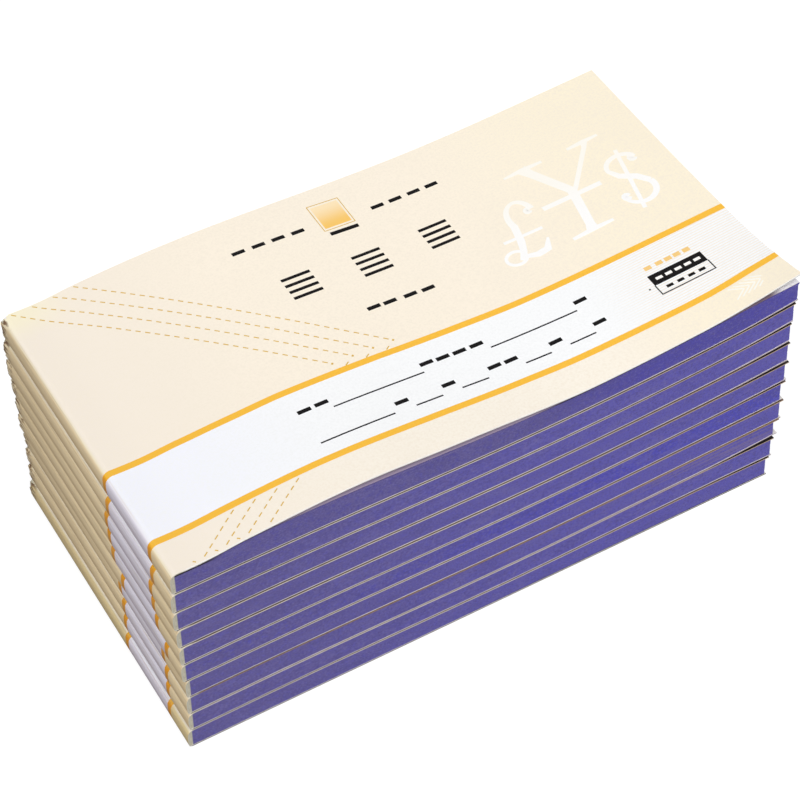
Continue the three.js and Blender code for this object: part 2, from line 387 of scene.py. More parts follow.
def station_point(book, station, y, depth):
    """A cover's point at a depth below its outer face."""
    kind, where = station
    if kind == "under":
        return where, y, underside(book.level, where) + gape(book.level, where, y) + depth
    if kind == "over":
        return where - end_bow(book, where, y), y, top_face(book.level, where, y) - depth
    base = underside(book.level, 0)
    if kind == "face":
        low, high = base + SPINE_BOTTOM_RADIUS, upper_face(book.level, 0) - SPINE_TOP_RADIUS
        z = low + (high - low) * where
        return depth - spine_bulge(book.level, z), y, z
    radius = SPINE_BOTTOM_RADIUS if kind == "low" else SPINE_TOP_RADIUS
    centre = base + radius if kind == "low" else upper_face(book.level, 0) - radius
    reach = radius - depth
    z = centre + reach * math.sin(where)
    return radius + reach * math.cos(where) - spine_bulge(book.level, z), y, z


COVER_FINISHES = ["cream", "stripe", "band", "cut_front", "cut_back", "inner"]
TEAR = 3.0  # depth of the ragged tears where the spines end at the back
TEAR_NOISE = (0.9, 3.3, 0.5)  # its pace along the outline, and from book to book, and its seed
# Rows of a cover on each side of its stripes and on them
WRAP_ROW_STEPS = [2, 1, 3, 1, 8]
PANEL_ROW_STEPS = [7, 1, 14, 1, 34]
PANEL_BEND_STEPS = 9
PANEL_STEPS = 96


def add_cover(skin, book, stations, row_steps):
    rows = [stripe_rows(book, s[1] if s[0] == "over" else 0, row_steps) for s in stations]

    def position(i, j, k):
        y = rows[i][j][0]
        if y == BOOK_WIDTH and stations[i][0] in ("low", "face", "high"):
            pace, book_pace, seed = TEAR_NOISE
            spot = Vector((i * pace, book.number * book_pace, seed))
            y -= TEAR * abs(noise.noise(spot))
        return station_point(book, stations[i], y, COVER_THICKNESS * (1 - k))

    def finish(side, a, b):
        name = "cut_front"
        if side == "top":
            name = rows[a][b][1]
        elif side == "bottom":
            name = "inner"
        elif side == "start" or (side in ("front", "back") and stations[a][0] == "under"):
            name = "cut_back"
        return COVER_FINISHES.index(name)

    skin.add_lattice((len(stations) - 1, len(rows[0]) - 1, 1), position, finish)


def make_wrap(book, finishes):
    skin = Skin(book.level)
    add_cover(skin, book, wrap_stations(book), WRAP_ROW_STEPS)
    piece = make_piece(book.name + "_cover", skin, book, finishes, "cover_card")
    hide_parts(book.name + "_cover_wrap")
    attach(piece, book.name)


def bend_with_front_cover(piece, book):
    """Bakes a piece's place into its mesh. The points where the top book's front cover would bend at
    the crease are worked out, but nothing uses them.
    """
    start, end = (
        book.place @ Vector((x, BOOK_WIDTH / 2, top_face(book.level, x, BOOK_WIDTH / 2)))
        for x in CREASE_BEND
    )
    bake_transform(piece)
    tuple(start)
    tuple(end)


def make_front_cover(book, finishes):
    skin = Skin(book.level)
    places = spread(COVER_SEAM, CREASE_BEND[1], PANEL_BEND_STEPS)
    places += spread(CREASE_BEND[1], book.length, PANEL_STEPS)[1:]
    add_cover(skin, book, [("over", x) for x in places], PANEL_ROW_STEPS)
    piece = make_piece(book.name + "_front_panel", skin, book, finishes, "cover_card")
    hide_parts("book_01_front_cover")
    bend_with_front_cover(piece, book)


# Leaves

PAPER, DYED = 0, 1
END_LEAN = 0.5  # of the leaves' free end, which stands out at its foot
END_ROUGHNESS = 2  # of the free end, against the long edges
# How the leaf edges stand in and out: the pace of the noise along each axis, and its height
RELIEF_LAYERS = ((0.02, 0.02, 3.1), 0.05)
RELIEF_PATCHES = ((0.12, 0.12, 0.5), 0.03)
RELIEF_SEED = 7.3
BLOCK_STEPS_BY_SPINE = 3
BLOCK_STEPS_X = 60
BLOCK_STEPS_Y = 24
BLOCK_LAYERS = 12


def leaf_finish(side, a, b):
    return PAPER if side in ("top", "bottom") else DYED


def relief(book, x, y, z):
    """How far the leaf edges stand in or out."""
    seed = RELIEF_SEED * book.number
    total = 0
    for (pace_x, pace_y, pace_z), height in (RELIEF_LAYERS, RELIEF_PATCHES):
        total += height * noise.noise(Vector((x * pace_x, y * pace_y, z * pace_z + seed)))
    return total


def make_block(book, finishes):
    skin = Skin(book.level)
    xs = spread(BLOCK_START, SPINE_TOP_RADIUS, BLOCK_STEPS_BY_SPINE)
    xs += spread(SPINE_TOP_RADIUS, book.leaf_end, BLOCK_STEPS_X)[1:]
    ys = spread(TRIM, BOOK_WIDTH - TRIM, BLOCK_STEPS_Y)

    def roof(x, y):
        if not book.is_top or x < LEAF_CREASE:
            return inner_roof(book.level, x)
        return upper_face(book.level, x) + leaf_wave(x, y) - OPEN_BLOCK_DEPTH

    def position(i, j, k):
        x, y = xs[i], ys[j]
        low = inner_floor(book.level, x) + gape(book.level, x, y)
        z = low + (roof(x, y) - low) * k / BLOCK_LAYERS
        stand = relief(book, x, y, z - low)
        if j in (0, len(ys) - 1):
            y += stand if j == 0 else -stand
        if i == len(xs) - 1:
            x += END_LEAN * (0.5 - k / BLOCK_LAYERS) - abs(stand) * END_ROUGHNESS
        return x - end_bow(book, x, y), y, z

    skin.add_lattice((len(xs) - 1, len(ys) - 1, BLOCK_LAYERS), position, leaf_finish)
    piece = make_piece(book.name + "_leaves", skin, book, finishes, "dyed_leaf_edges")
    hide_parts(book.name + "_leaf_block")
    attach(piece, book.name)


GLUE_GAP = 0.02
GLUE_STEPS = 6
GLUE_STEPS_Y = 20


def make_glue(book, finish):
    skin = Skin(book.level)
    xs = spread(COVER_THICKNESS + GLUE_GAP, BLOCK_START - GLUE_GAP, GLUE_STEPS)
    ys = spread(TRIM, BOOK_WIDTH - TRIM, GLUE_STEPS_Y)

    def position(i, j, k):
        low = inner_floor(book.level, xs[i])
        z = low + (inner_roof(book.level, xs[i]) - low) * k / GLUE_STEPS
        return xs[i] - spine_bulge(book.level, z) * (1 - i / GLUE_STEPS), ys[j], z

    skin.add_lattice((GLUE_STEPS, GLUE_STEPS_Y, GLUE_STEPS), position, lambda *cell: 0)
    piece = make_piece(book.name + "_glue", skin, book, [finish], "spine_glue")
    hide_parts(book.name + "_spine_glue")
    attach(piece, book.name)


SHEET_STEPS_X = 72
SHEET_STEPS_Y = 30


def make_loose_leaf(book, name, depth, thickness, finishes, slot):
    skin = Skin(book.level)
    xs = spread(LEAF_CREASE + CREASE_GAP, book.leaf_end, SHEET_STEPS_X)
    ys = spread(TRIM, BOOK_WIDTH - TRIM, SHEET_STEPS_Y)

    def position(i, j, k):
        x, y = xs[i], ys[j]
        upper = upper_face(book.level, x) - depth + leaf_wave(x, y)
        return x - end_bow(book, x, y), y, upper - thickness * (1 - k)

    skin.add_lattice((SHEET_STEPS_X, SHEET_STEPS_Y, 1), position, leaf_finish)
    piece = make_piece(f"{book.name}_{name}_sheet", skin, book, finishes, slot)
    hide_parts(f"{book.name}_{name}")
    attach(piece, f"{name}_of_{book.name}")


# Print on the top cover

STROKE_STEP = 2.0


class Ink:
    """Patches of one ink, laid over the top book's front cover."""

    def __init__(self, book):
        self.book = book
        self.skin = Skin(book.level)
        self.patches = 0

    def patch(self, rows, height=INK_HEIGHT):
        """One patch over a grid of (x, y) points, rows running in X."""
        rise = height + INK_STEP * (self.patches % INK_STEPS)
        self.patches += 1

        def position(i, j, k):
            x, y = rows[j][i]
            return x, y, top_face(self.book.level, x, y) + (rise if k else -INK_HEIGHT)

        self.skin.add_lattice((len(rows[0]) - 1, len(rows) - 1, 1), position, lambda *cell: 0)

    def bar(self, start, end, width):
        """A straight bar between the middles of its ends."""
        self.stroke([(*start, width), (*end, width)])

    def level_bar(self, x, y, length, width):
        """A bar along X, by its middle."""
        self.bar((x - length / 2, y), (x + length / 2, y), width)

    def stroke(self, points, height=INK_HEIGHT):
        """A stroke along (x, y, width) points."""
        line = refine(points, STROKE_STEP)
        left, right = [], []
        for before, point, after in zip([line[0]] + line, line, line[1:] + [line[-1]]):
            dx, dy = after[0] - before[0], after[1] - before[1]
            size = math.hypot(dx, dy)
            nx, ny = -dy / size * point[2] / 2, dx / size * point[2] / 2
            left.append((point[0] + nx, point[1] + ny))
            right.append((point[0] - nx, point[1] - ny))
        self.patch([right, left], height)

    def lay(self, name, finish):
        piece = make_piece(name, self.skin, self.book, [finish], "cover_card")
        bend_with_front_cover(piece, self.book)


def refine(points, step):
    """The same path with its long runs divided."""
    path = [points[0]]
    for start, end in zip(points, points[1:]):
        count = max(1, math.ceil(math.dist(start[:2], end[:2]) / step))
        for i in range(1, count + 1):
            path.append(tuple(a + (b - a) * i / count for a, b in zip(start, end)))
    return path


DASH_LENGTH = 1.35
DASH_WIDTH = 0.3
DASH_LINES = 4
DASH_LINE_STEP = 5.7
DASH_BACK = (19.2, 94.0)
DASH_TURN = (79.7, 37.2)
DASH_FRONT = (25.9, 0.9)
# Pitch of the dashes and the middle of the first one, on the way to the turn and after it
DASHES_BACK = (2.49, 1.5)
DASHES_FRONT = (2.53, 3.0)
DASH_DOT = 0.5  # length of the dot in the turn
DASH_RETURN = (18.0, 1.1)
DASH_RETURN_LENGTH = 0.8
DASH_RETURN_FROM = 1.6
DASH_MARGIN = 0.2


def lay_dashes(book, finish):
    """Four nested lines of dashes that turn at the upper stripe and pass under the white band."""
    ink = Ink(book)
    for line in range(DASH_LINES):
        shift = -DASH_LINE_STEP * line
        back, turn, front, again = (
            Vector((x + shift, y)) for x, y in (DASH_BACK, DASH_TURN, DASH_FRONT, DASH_RETURN)
        )
        lay_dash_line(ink, back, turn, *DASHES_BACK)
        lay_dash_line(ink, turn, front, *DASHES_FRONT)
        ray = (turn - back).normalized()
        ink.bar(*dash_ends(turn, ray, DASH_DOT), 2 * DASH_WIDTH)
        if again.x > DASH_RETURN_FROM:
            ink.bar(*dash_ends(again, ray, DASH_RETURN_LENGTH), DASH_WIDTH)
    ink.lay("print_dashes", finish)


def lay_dash_line(ink, start, end, pitch, first):
    ray = (end - start).normalized()
    for n in range(int(((end - start).length - first) / pitch) + 1):
        lay_dash(ink, start + ray * (first + pitch * n), ray)


def lay_dash(ink, middle, ray):
    """One dash, where it lies wholly on the cream card of the front panel."""
    start, end = dash_ends(middle, ray, DASH_LENGTH)
    front, back = min(start[1], end[1]), max(start[1], end[1])
    low, high = stripe_middles(ink.book, middle.x)
    clear = STRIPE_WIDTH / 2
    on_cream = back < low - clear or front > high + clear
    if on_cream and DASH_MARGIN < front and back < BOOK_WIDTH and start[0] > CREASE_BEND[0]:
        ink.bar(start, end, DASH_WIDTH)


def dash_ends(middle, ray, length):
    half = ray * length / 2
    return tuple(middle - half), tuple(middle + half)


# Plain bars: lengths and widths, and the middle of each in (x, y)
SMALL_BAR = (3.6, 1.2)
SMALL_BARS = [
    (60.5, 82.0), (66.2, 81.9), (71.8, 81.8), (77.4, 81.6),
    (100.1, 80.3), (105.4, 80.3), (110.9, 80.3), (116.2, 80.2),
    (81.2, 49.2), (85.7, 49.0), (91.4, 48.7), (96.4, 48.4),
    (49.2, 26.9), (53.9, 27.0), (82.9, 26.7), (87.4, 26.4), (92.0, 26.2), (96.8, 26.1),
    (126.6, 25.3),
    (71.0, 18.3), (84.0, 18.1), (96.9, 17.8), (101.5, 17.6), (114.1, 17.1), (126.8, 16.8),
]
LARGE_BAR = (8.2, 0.95)
LARGE_BAR_PITCH = 2.3
LARGE_BARS = 4
LARGE_BAR_PLACES = [(69.2, 64.4), (88.8, 63.2), (108.7, 63.6)]
BADGE_BAR = ((84.4, 76.9), (92.4, 76.6), 1.2)  # from, to, width
BLANK_LINE_WIDTH = 0.42
BLANK_LINES = [
    ((56.0, 24.6), (80.9, 24.3)), ((99.5, 23.6), (124.2, 22.9)),
    ((47.6, 15.8), (67.8, 15.7)), ((73.6, 15.6), (81.0, 15.5)), ((86.4, 15.5), (93.8, 15.2)),
    ((104.2, 14.9), (111.4, 14.6)), ((116.8, 14.5), (124.2, 14.3)),
]


def lay_plain_bars(book, finish):
    ink = Ink(book)
    for x, y in SMALL_BARS:
        ink.level_bar(x, y, *SMALL_BAR)
    reach = (LARGE_BARS - 1) / 2 * LARGE_BAR_PITCH
    for x, y in LARGE_BAR_PLACES:
        for row_y in spread(y - reach, y + reach, LARGE_BARS - 1):
            ink.level_bar(x, row_y, *LARGE_BAR)
    ink.bar(*BADGE_BAR)
    ink.lay("print_word_bars", finish)


def lay_blank_lines(book, finish):
    ink = Ink(book)
    for start, end in BLANK_LINES:
        ink.bar(start, end, BLANK_LINE_WIDTH)
    ink.lay("print_blank_lines", finish)


# The label by the free end: a black field over an outlined white one
LABEL_X = (144.8, 160.5)
LABEL_Y = (15.6, 19.0, 22.6)
LABEL_LINE = 0.32
LABEL_SLANT = -0.02
LABEL_BAR_X = [148.0, 151.2, 154.4, 157.5]
LABEL_PALE_BAR_X = [147.2, 150.0, 152.8, 155.6, 158.4]
NOTE_BAR_X = [146.6, 149.9, 152.6, 155.2, 158.0]
LABEL_DOT = (143.0, 18.65, 0.45, 0.45)  # middle, length and width
LABEL_BAR_Y = 17.2
NOTE_BAR_Y = 25.0
# Half length and width of the bars in the label, and of those over it
LABEL_BAR = (0.95, 0.9)
NOTE_BAR = (1.0, 1.3)
LABEL_STEPS = (8, 3)


def on_label(x, y):
    return x, y + LABEL_SLANT * (x - LABEL_X[0])


def lay_label_bars(ink, xs, y, half, width, height=INK_HEIGHT):
    for x in xs:
        ink.stroke([(*on_label(x - half, y), width), (*on_label(x + half, y), width)], height)


def lay_label(book, dark, pale, gold):
    left, right = LABEL_X
    low, middle, high = LABEL_Y
    xs, ys = spread(left, right, LABEL_STEPS[0]), spread(middle, high, LABEL_STEPS[1])
    black = Ink(book)
    black.patch([[on_label(x, y) for x in xs] for y in ys])
    half = LABEL_LINE / 2
    black.bar(on_label(left - half, low), on_label(right + half, low), LABEL_LINE)
    for x in (left, right):
        black.bar(on_label(x, low), on_label(x, middle), LABEL_LINE)
    lay_label_bars(black, LABEL_BAR_X, LABEL_BAR_Y, *LABEL_BAR)
    black.level_bar(*LABEL_DOT)
    white = Ink(book)
    lay_label_bars(white, LABEL_PALE_BAR_X, (middle + high) / 2, *LABEL_BAR, height=2 * INK_HEIGHT)
    note = Ink(book)
    lay_label_bars(note, NOTE_BAR_X, NOTE_BAR_Y, *NOTE_BAR)
    black.lay("print_label", dark)
    white.lay("print_label_bars", pale)
    note.lay("print_note_bars", gold)


BADGE = ((83.6, 78.5), (92.4, 78.3), (92.5, 88.0), (83.6, 88.4))
BADGE_LINE = 0.22
BADGE_INSIDE = (0.07, 0.93, 5)  # from, to as shares of the box, and steps


def lay_badge(book, fill, outline):
    """A plain shaded box, with an outline."""
    low_left, low_right, high_right, high_left = (Vector(p) for p in BADGE)
    rows = []
    for up in spread(*BADGE_INSIDE):
        left, right = low_left.lerp(high_left, up), low_right.lerp(high_right, up)
        rows.append([tuple(left.lerp(right, s)) for s in spread(*BADGE_INSIDE)])
    box = Ink(book)
    box.patch(rows)
    box.lay("print_badge", fill)
    line = Ink(book)
    for start, end in zip(BADGE, BADGE[1:] + BADGE[:1]):
        line.bar(start, end, BADGE_LINE)
    line.lay("print_badge_outline", outline)


CHEVRONS = 5
CHEVRON_STEP = (1.68, 0.06)
CHEVRON_TIP = (168.6, 5.6)
CHEVRON_ARM = (3.4, 2.08)
CHEVRON_WIDTH = 0.4


def lay_chevrons(book, finish):
    """The nested arrow heads."""
    ink = Ink(book)
    for n in range(CHEVRONS):
        x = CHEVRON_TIP[0] - CHEVRON_STEP[0] * n
        y = CHEVRON_TIP[1] - CHEVRON_STEP[1] * n
        for side in (-1, 1):
            tail = (x - CHEVRON_ARM[0], y + side * CHEVRON_ARM[1])
            ink.bar(tail, (x, y), CHEVRON_WIDTH)
    ink.lay("print_chevrons", finish)


def arc(centre, radii, start, end, widths, steps=14):
    """Points of an elliptical arc, by angles in degrees, for a stroke."""
    points = []
    for i in range(steps + 1):
        share = i / steps
        angle = math.radians(start + (end - start) * share)
        x = centre[0] + radii[0] * math.cos(angle)
        y = centre[1] + radii[1] * math.sin(angle)
        points.append((x, y, widths[0] + (widths[1] - widths[0]) * share))
    return points


# Strokes of the pale signs, as (x, y, width) points
YEN = [
    [(138.9, 72.2, 3.4), (140.3, 69.4, 2.7), (145.9, 58.6, 2.5)],
    [(158.0, 71.8, 2.0), (157.2, 70.2, 1.3), (146.8, 58.4, 1.3)],
    [(146.0, 59.2, 2.7), (143.3, 46.0, 2.5), (142.9, 44.2, 3.4)],
    [(133.4, 71.8, 0.7), (139.2, 72.0, 1.5), (145.0, 71.9, 0.8)],
    [(152.9, 71.9, 0.9), (157.8, 72.0, 1.4), (162.5, 72.1, 0.8)],
    [(136.7, 43.7, 1.0), (142.8, 44.0, 1.5), (149.0, 43.9, 0.9)],
    [(136.0, 57.0, 1.5), (153.6, 56.7, 1.5)],
]
POUND = [
    arc((132.4, 58.8), (0.6, 0.6), 0, 340, (1.3, 1.3), steps=8),
    arc((130.4, 59.0), (3.2, 4.2), 0, 100, (1.8, 1.0)),
    arc((130.6, 57.2), (4.3, 6.0), 98, 196, (1.0, 2.0)),
    [(126.5, 56.0, 2.0), (125.2, 50.4, 2.1), (123.9, 47.0, 1.8), (122.0, 44.6, 1.2)],
    arc((121.1, 46.0), (2.8, 2.3), -30, 330, (0.95, 0.95), steps=20),
    [(122.6, 45.6, 1.1), (126.6, 44.3, 1.9), (129.7, 44.7, 2.1), (131.7, 48.0, 0.6)],
    [(121.0, 52.0, 0.95), (132.4, 51.7, 0.95)],
]
DOLLAR = [
    [(163.2, 64.6, 1.15), (158.0, 42.8, 1.15)],
    arc((165.4, 59.9), (0.7, 0.7), 0, 340, (1.5, 1.5), steps=8),
    arc((161.9, 59.0), (4.6, 3.6), 25, 190, (1.4, 1.3)),
    [(157.4, 58.6, 1.3), (158.8, 55.9, 1.8), (162.5, 53.4, 2.0), (164.7, 50.3, 1.9)],
    arc((160.2, 49.0), (4.7, 4.3), 18, -165, (1.9, 1.1)),
    arc((156.2, 48.6), (0.7, 0.7), 0, 340, (1.5, 1.5), steps=8),
]


def lay_pale_signs(book, finish):
    """Pale signs of money, from plain strokes."""
    ink = Ink(book)
    for points in YEN + POUND + DOLLAR:
        ink.stroke(points)
    ink.lay("print_pale_signs", finish)


# Finishes

def colour(red, green, blue):
    """A colour for a shader from screen values of 0 to 255."""
    linear = []
    for value in (red, green, blue):
        s = value / 255
        linear.append(s / 12.92 if s <= 0.04045 else ((s + 0.055) / 1.055) ** 2.4)
    return (*linear, 1.0)


def tones(*screen_colours):
    return [colour(*c) for c in screen_colours]


def dim(tone, factors):
    return tuple(c * factor for c, factor in zip(tone, factors)) + (1.0,)


class Finish:
    """A material being put together. Its place is where a point lies in its book, in mm.

    A window is (from, to) or (from, to, top). The share of a value in it goes smoothly from 0 at the
    first number to 1, or to the top, at the second. The value is x, y, z or a noise of 0 to 1.
    """

    def __init__(self, name, roughness):
        self.material = bpy.data.materials.new(name)
        self.material.use_nodes = True
        self.tree = self.material.node_tree
        self.shader = self.tree.nodes["Principled BSDF"]
        self.shader.inputs["Roughness"].default_value = roughness
        self.place = self.add("ShaderNodeAttribute", attribute_name="place").outputs["Vector"]
        self.x, self.y, self.z = self.add("ShaderNodeSeparateXYZ", {"Vector": self.place}).outputs
        self.space = self.add("ShaderNodeTexCoord").outputs["Object"]

    def add(self, kind, inputs=None, **settings):
        node = self.tree.nodes.new(kind)
        for name, value in settings.items():
            setattr(node, name, value)
        for name, value in (inputs or {}).items():
            self.feed(node.inputs[name], value)
        return node

    def feed(self, socket, value):
        if isinstance(value, bpy.types.NodeSocket):
            self.tree.links.new(value, socket)
        else:
            socket.default_value = value

    def noise(self, stretch, detail=2.0, shift=0.0, through=False):
        """Noise from 0 to 1, with its cells per mm along each axis.

        It is the same in every book, unless it goes through the whole stack.
        """
        space = self.space if through else self.place
        cells = tuple(s / MM for s in stretch) if through else stretch
        where = self.add(
            "ShaderNodeVectorMath",
            {0: space, 1: cells, 2: (shift, shift, shift)},
            operation="MULTIPLY_ADD",
        )
        node = self.add(
            "ShaderNodeTexNoise", {"Vector": where.outputs[0], "Scale": 1.0, "Detail": detail}
        )
        return node.outputs["Fac"]

    def share(self, value, low, high, top=1.0):
        """Share of a value in a window from low to high."""
        flip = low > high
        inputs = {
            "Value": value,
            "From Min": min(low, high),
            "From Max": max(low, high),
            "To Min": top if flip else 0.0,
            "To Max": 0.0 if flip else top,
        }
        node = self.add("ShaderNodeMapRange", inputs, interpolation_type="SMOOTHSTEP")
        return node.outputs["Result"]

    def math(self, operation, first, second):
        node = self.add("ShaderNodeMath", {0: first, 1: second}, operation=operation)
        return node.outputs[0]

    def mix(self, share, first, second):
        node = self.add("ShaderNodeMix", {0: share, 6: first, 7: second}, data_type="RGBA")
        return node.outputs[2]

    def both(self, first, second):
        """Share where two shares meet."""
        return self.math("MULTIPLY", first, second)

    def within(self, value, window, other, other_window):
        """Share where two values are both in their windows."""
        return self.both(self.share(value, *window), self.share(other, *other_window))

    def coat(self, tone, over, value, *window):
        """Lays a colour over a tone, by the share of a value in a window."""
        return self.mix(self.share(value, *window), tone, over)

    def paint(self, tone, height=None, strength=0.0, distance=0.0):
        """Gives the material its colour, and bump from a height of 0 to 1, over a distance in mm."""
        self.feed(self.shader.inputs["Base Color"], tone)
        if height is not None:
            bump = {"Height": height, "Strength": strength, "Distance": distance * MM}
            node = self.add("ShaderNodeBump", bump)
            self.feed(self.shader.inputs["Normal"], node.outputs["Normal"])
        return self.material


TORN_DARK = colour(118, 90, 62)
TORN_PALE = colour(238, 226, 198)
DULL_SPINE = colour(190, 166, 126)
# Windows over a spine's face, for its painted highlight and painted shade and where it dulls, and
# over the noises on it
SPINE_MIDDLE_Z = (6.35, 5.75)
SPINE_LOW_Z = (4.4, 1.2)
SPINE_GROOVE_Z = (0.6, 0.38)
SPINE_DULL_Y = (35, 94, 0.32)
SPINE_STREAKS = (0.5, 0.72, 0.42)
TORN_Y = (88.5, 92.5)
TORN_X = (1.2, 0.6)
TORN_DARK_PARTS = (0.48, 0.57)
TORN_PALE_PARTS = (0.46, 0.36)


def spine_tone(finish, high, middle, low, groove):
    """Colour down a rounded spine, with painted light: a painted highlight only at its upper edge,
    darker lower down, and painted shade in the joint below.
    """
    streaks = finish.noise((1.2, 0.05, 3.0), detail=3.0, shift=4.0, through=True)
    tone = finish.coat(high, middle, finish.z, *SPINE_MIDDLE_Z)
    tone = finish.coat(tone, low, finish.z, *SPINE_LOW_Z)
    dull = finish.share(finish.y, *SPINE_DULL_Y)
    streaked = finish.share(streaks, *SPINE_STREAKS)
    tone = finish.mix(finish.math("ADD", dull, streaked), tone, DULL_SPINE)
    return finish.coat(tone, groove, finish.z, *SPINE_GROOVE_Z)


def torn_end(finish, tone):
    """Adds the frayed back end of a spine."""
    frayed = finish.noise((0.7, 0.45, 1.6), detail=4.0, shift=2.0, through=True)
    near_end = finish.within(finish.y, TORN_Y, finish.x, TORN_X)
    dark = finish.both(near_end, finish.share(frayed, *TORN_DARK_PARTS))
    pale = finish.both(near_end, finish.share(frayed, *TORN_PALE_PARTS))
    return finish.mix(pale, finish.mix(dark, tone, TORN_DARK), TORN_PALE)


CREAM_FRONT = colour(255, 247, 233)
CREAM_END = colour(255, 244, 219)
CORNER_TINT = colour(253, 246, 206)
HATCH_TINT = colour(247, 237, 224)
# Factors on a card's red, green and blue, the two by the spine for painted shade, then windows over
# its face and its noises
CARD_DEEP = (0.92, 0.92, 0.92)
CARD_SHADE_BY_SPINE = (0.92, 0.92, 0.95)
BAND_SHADE_BY_SPINE = (0.92, 0.92, 0.99)
CREAM_FRONT_Y = (11, 9)
CREAM_FRONT_X = (150, 115)
CREAM_END_X = (105, 165)
CORNER_X = (20, 3)
CORNER_Y = (82, 93, 0.55)
CARD_SHADE_X = (62, 2)
ON_SPINE_X = (1.0, 0.15)
CARD_CLOUDS = (0.4, 0.75, 0.18)
CARD_GRAIN = (0.35, 0.75, 0.65)
FACE_DEPTH = (0.5, 0.36)
FACE_X = (2.0, 5.0)


def card_finish(name, flat, on_spine, edges, hatched=False):
    """Printed cover card: soft grain, painted shade that darkens it towards the spine, and where it
    wraps the spine the spine's tones under painted light.
    """
    finish = Finish(name, roughness=0.55)
    x, y = finish.x, finish.y
    cloud = finish.noise((0.05, 0.05, 0.05), detail=3.0)
    grain = finish.noise((1.7, 1.7, 1.7), detail=3.0)
    deep = dim(flat, CARD_DEEP)
    shaded_by_spine = dim(flat, BAND_SHADE_BY_SPINE if hatched else CARD_SHADE_BY_SPINE)
    if name.endswith("cream"):
        at_front = finish.within(y, CREAM_FRONT_Y, x, CREAM_FRONT_X)
        flat = finish.mix(at_front, finish.coat(flat, CREAM_END, x, *CREAM_END_X), CREAM_FRONT)
    # Painted shade: the card gets darker towards the spine
    tone = finish.coat(flat, shaded_by_spine, x, *CARD_SHADE_X)
    tone = finish.coat(tone, deep, cloud, *CARD_CLOUDS)
    tone = finish.coat(tone, deep, grain, *CARD_GRAIN)
    if hatched:
        tone = finish.mix(hatch_lines(finish), tone, HATCH_TINT)
    else:
        tone = finish.mix(finish.within(x, CORNER_X, y, CORNER_Y), tone, CORNER_TINT)
    tone = finish.coat(tone, spine_tone(finish, *on_spine), x, *ON_SPINE_X)
    tone = shade_and_highlight_face(finish, torn_end(finish, tone), *edges["face"])
    return finish.paint(tone, grain, strength=0.25, distance=0.02)


def shade_and_highlight_face(finish, tone, near, far, edge_window):
    """Adds painted shade along a cover's front edge, in the joint under the book above; on the top
    book it adds a painted highlight there.
    """
    inwards = finish.math("SUBTRACT", finish.y, finish.share(finish.x, *edge_window))
    at_edge = finish.within(inwards, FACE_DEPTH, finish.x, FACE_X)
    return finish.mix(at_edge, tone, finish.coat(near, far, finish.x, *edge_window[:2]))


HATCH_PITCH = 0.79
HATCH_WAVE = (0.1, 0.9)
HATCH_X = (126.0, 150.0)


def hatch_lines(finish):
    """Share of fine pale lines along the white band, which fade in towards the free end."""
    turns = finish.math("MULTIPLY", finish.y, 2 * math.pi / HATCH_PITCH)
    return finish.within(finish.math("SINE", turns, 0.0), HATCH_WAVE, finish.x, HATCH_X)


CUT_FIBRES = (0.42, 0.7)
CUT_FAR_X = (95, 150)
CUT_JOINT_Z = (0.18, 0.1)
CUT_WRAP_Z = (0.35, 0.8)  # where the wrap's edge turns up round the spine


def cut_finish(name, cut_tones, near_spine, joint=None):
    """The cut edge of the card: pale fibres, stained by the dye, and painted shade along a joint
    below.
    """
    pale, stained, far = cut_tones
    finish = Finish(name, roughness=0.8)
    fibres = finish.noise((0.35, 0.35, 5.0), detail=3.0)
    tone = finish.coat(pale, stained, fibres, *CUT_FIBRES)
    tone = finish.coat(tone, far, finish.x, *CUT_FAR_X)
    tone = finish.coat(tone, near_spine[0], finish.x, *near_spine[1:])
    if joint:
        # Painted shade at the foot of the edge, in the joint below
        tone = finish.coat(tone, joint, finish.z, *CUT_JOINT_Z)
        tone = finish.coat(tone, far, finish.z, *CUT_WRAP_Z)
    return finish.paint(tone, fibres, strength=0.4, distance=0.03)


# Grains of the plain finishes: roughness, cells per mm, detail, window, and strength and mm of bump
INNER_CARD = (0.75, (0.9, 0.25, 0.9), 4.0, (0.4, 0.75), 0.2, 0.02)
GLUE = (0.45, (1.5, 0.8, 1.5), 3.0, (0.35, 0.7), 0.4, 0.08)
INK = (0.5, (2.4, 2.4, 2.4), 2.0, (0.55, 0.85, 0.5), 0.15, 0.02)


def grained_finish(name, kind, pale, deep, gloss=0.5):
    """Two tones that its own grain mixes."""
    roughness, cells, detail, window, strength, distance = kind
    finish = Finish(name, roughness)
    finish.shader.inputs["Specular IOR Level"].default_value = gloss
    grain = finish.noise(cells, detail)
    return finish.paint(finish.coat(pale, deep, grain, *window), grain, strength, distance)


# Front and back tones of two inks, and where the one turns into the other
BADGE_TONES = tones((251, 202, 104), (255, 232, 190))
BADGE_FADE_Y = (79.5, 87.5)
SIGN_TONES = tones((255, 254, 253), (255, 251, 242))
SIGN_FADE_Y = (48, 68)


def fading_ink(name, front, back, *window):
    """An ink that goes from one colour to another towards the back."""
    finish = Finish(name, roughness=0.5)
    return finish.paint(finish.coat(front, back, finish.y, *window))


DYE = colour(110, 102, 170)
DYE_RED = colour(128, 110, 172)
DYE_PALE = colour(130, 123, 190)
DYE_DARK = colour(94, 87, 156)
DYE_BLUE = colour(108, 102, 205)
DYE_BLUER = colour(88, 86, 214)
DYE_DEEP = colour(86, 80, 192)
DYE_WORN = colour(150, 132, 170)
GLUE_TINT = colour(214, 210, 192)
SHADE_BY_SPINE = colour(34, 24, 26)
# What the dye turns to towards the free end, and from where on, by book
FAR_DYES = {1: (DYE_DEEP, 90), 6: (DYE_BLUER, 5)}
OTHER_FAR_DYE = (DYE_BLUE, 5)
FAR_DYE_END = (135, 0.85)
